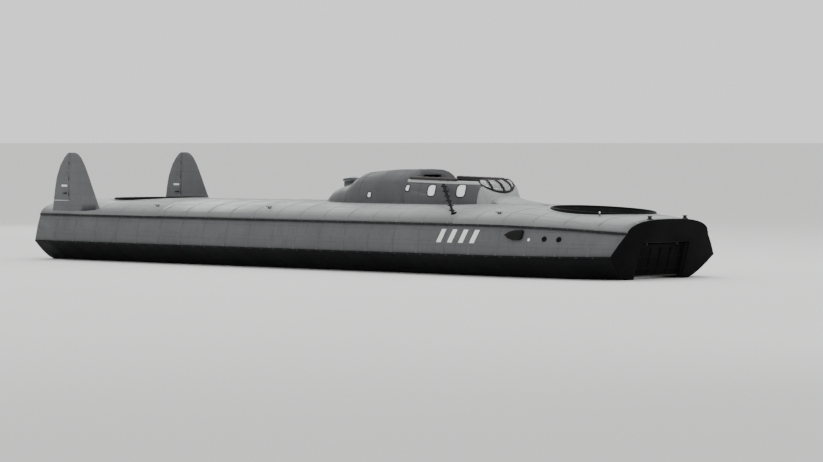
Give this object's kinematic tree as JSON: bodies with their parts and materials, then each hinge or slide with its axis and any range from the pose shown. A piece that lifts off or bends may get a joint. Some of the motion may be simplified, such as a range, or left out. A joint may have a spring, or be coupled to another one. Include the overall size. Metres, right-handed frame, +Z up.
{
  "type": "hovercraft",
  "caption": "All-metal twin-float air-cushion boat with arched deck, upright airscrew wells fore and aft, open-cockpit cabin, twin fins with rudders and hinged tunnel flaps.",
  "frame": {"origin": "on the ground under the middle of the craft, at the centre of its bottom", "axes": "+X towards the bow, +Y to port, +Z up"},
  "size_m": [24, 5.414, 3.34],
  "materials": {
    "deck_paint": "satin, weathered",
    "hull_paint": "satin, weathered",
    "cabin_paint": "satin, weathered",
    "black_paint": "satin",
    "dark_trim": "satin",
    "engine_metal": "oily",
    "blade_metal": "brushed",
    "hide": "worn",
    "black_rubber": "matt",
    "clear_glass": "clear"
  },
  "bodies": {
    "hull": {"deck_fore": "deck_paint", "deck_mid": "deck_paint", "deck_aft": "deck_paint", "float_port": "hull_paint", "float_starboard": "hull_paint", "rub_rail_port": "dark_trim", "rub_rail_starboard": "dark_trim", "chine_rail_port": "hull_paint", "chine_rail_starboard": "hull_paint", "bow_fascia": "black_paint", "stern_transom": "hull_paint", "duct_front": "hull_paint", "duct_rear": "hull_paint", "engine_front": "engine_metal", "engine_rear": "engine_metal", "vane_frame_front": "hull_paint", "vane_frame_rear": "hull_paint", "bow_flap_beam": "dark_trim", "stern_flap_beam": "dark_trim", "fin_port": "cabin_paint", "fin_starboard": "cabin_paint", "cabin_shell": "cabin_paint", "cockpit_shell": "cabin_paint", "nose_fairing": "cabin_paint", "windshield_frame": "cabin_paint", "windshield_glass": "clear_glass", "dashboard": "dark_trim", "seat_port": "hide", "seat_starboard": "hide", "cockpit_coaming_port": "hide", "cockpit_coaming_starboard": "hide", "boarding_ladder": "dark_trim", "bollard_port": "dark_trim", "bollard_starboard": "dark_trim", "exhaust_port": "dark_trim", "exhaust_starboard": "dark_trim"},
    "front_fan": {"fan_front": "blade_metal"},
    "rear_fan": {"fan_rear": "blade_metal"},
    "front_vane_1": {"vane_front_1": "hull_paint"},
    "front_vane_2": {"vane_front_2": "hull_paint"},
    "front_vane_3": {"vane_front_3": "hull_paint"},
    "rear_vane_1": {"vane_rear_1": "hull_paint"},
    "rear_vane_2": {"vane_rear_2": "hull_paint"},
    "rear_vane_3": {"vane_rear_3": "hull_paint"},
    "bow_tunnel_flap": {"bow_flap": "black_paint"},
    "stern_tunnel_flap": {"stern_flap": "hull_paint"},
    "port_rudder": {"rudder_port": "cabin_paint"},
    "starboard_rudder": {"rudder_starboard": "cabin_paint"},
    "after_hatch": {"hatch_lid": "cabin_paint"},
    "helm": {"steering_wheel": "black_rubber"}
  },
  "joints": [
    {"name": "fan_front_spin", "type": "hinge", "parent": "hull", "child": "front_fan", "pos_m": [9.57, 0, 1.56], "axis": [0, 0, 1], "continuous": true},
    {"name": "fan_rear_spin", "type": "hinge", "parent": "hull", "child": "rear_fan", "pos_m": [-8.9, 0, 1.6], "axis": [0, 0, 1], "continuous": true},
    {"name": "vane_front_1_tilt", "type": "hinge", "parent": "hull", "child": "front_vane_1", "pos_m": [8.89, 0, 0.62], "axis": [0, 1, 0], "range_deg": [-15, 45]},
    {"name": "vane_front_2_tilt", "type": "hinge", "parent": "hull", "child": "front_vane_2", "pos_m": [9.57, 0, 0.62], "axis": [0, 1, 0], "range_deg": [-15, 45]},
    {"name": "vane_front_3_tilt", "type": "hinge", "parent": "hull", "child": "front_vane_3", "pos_m": [10.25, 0, 0.62], "axis": [0, 1, 0], "range_deg": [-15, 45]},
    {"name": "vane_rear_1_tilt", "type": "hinge", "parent": "hull", "child": "rear_vane_1", "pos_m": [-9.58, 0, 0.62], "axis": [0, 1, 0], "range_deg": [-15, 45]},
    {"name": "vane_rear_2_tilt", "type": "hinge", "parent": "hull", "child": "rear_vane_2", "pos_m": [-8.9, 0, 0.62], "axis": [0, 1, 0], "range_deg": [-15, 45]},
    {"name": "vane_rear_3_tilt", "type": "hinge", "parent": "hull", "child": "rear_vane_3", "pos_m": [-8.22, 0, 0.62], "axis": [0, 1, 0], "range_deg": [-15, 45]},
    {"name": "bow_flap_swing", "type": "hinge", "parent": "hull", "child": "bow_tunnel_flap", "pos_m": [11.64, 0, 0.94], "axis": [0, 1, 0], "range_deg": [0, 50]},
    {"name": "stern_flap_swing", "type": "hinge", "parent": "hull", "child": "stern_tunnel_flap", "pos_m": [-11.89, 0, 0.94], "axis": [0, 1, 0], "range_deg": [0, 60]},
    {"name": "rudder_port_turn", "type": "hinge", "parent": "hull", "child": "port_rudder", "pos_m": [-10.54, 2.3, 2.5], "axis": [0, 0, 1], "range_deg": [-30, 30]},
    {"name": "rudder_starboard_turn", "type": "hinge", "parent": "hull", "child": "starboard_rudder", "pos_m": [-10.54, -2.3, 2.5], "axis": [0, 0, 1], "range_deg": [-30, 30]},
    {"name": "after_hatch_lift", "type": "hinge", "parent": "hull", "child": "after_hatch", "pos_m": [0.41, 0, 2.56], "axis": [0, 1, 0], "range_deg": [0, 95]},
    {"name": "steering_wheel_turn", "type": "hinge", "parent": "hull", "child": "helm", "pos_m": [5.24, 0.42, 2.25], "axis": [0.9781, 0, -0.2079], "range_deg": [-90, 90]}
  ],
  "couplings": [
    {"joint": "vane_front_1_tilt", "follows": "vane_front_2_tilt", "ratio": 1},
    {"joint": "vane_front_3_tilt", "follows": "vane_front_2_tilt", "ratio": 1},
    {"joint": "vane_rear_1_tilt", "follows": "vane_rear_2_tilt", "ratio": 1},
    {"joint": "vane_rear_3_tilt", "follows": "vane_rear_2_tilt", "ratio": 1},
    {"joint": "rudder_starboard_turn", "follows": "rudder_port_turn", "ratio": 1}
  ]
}
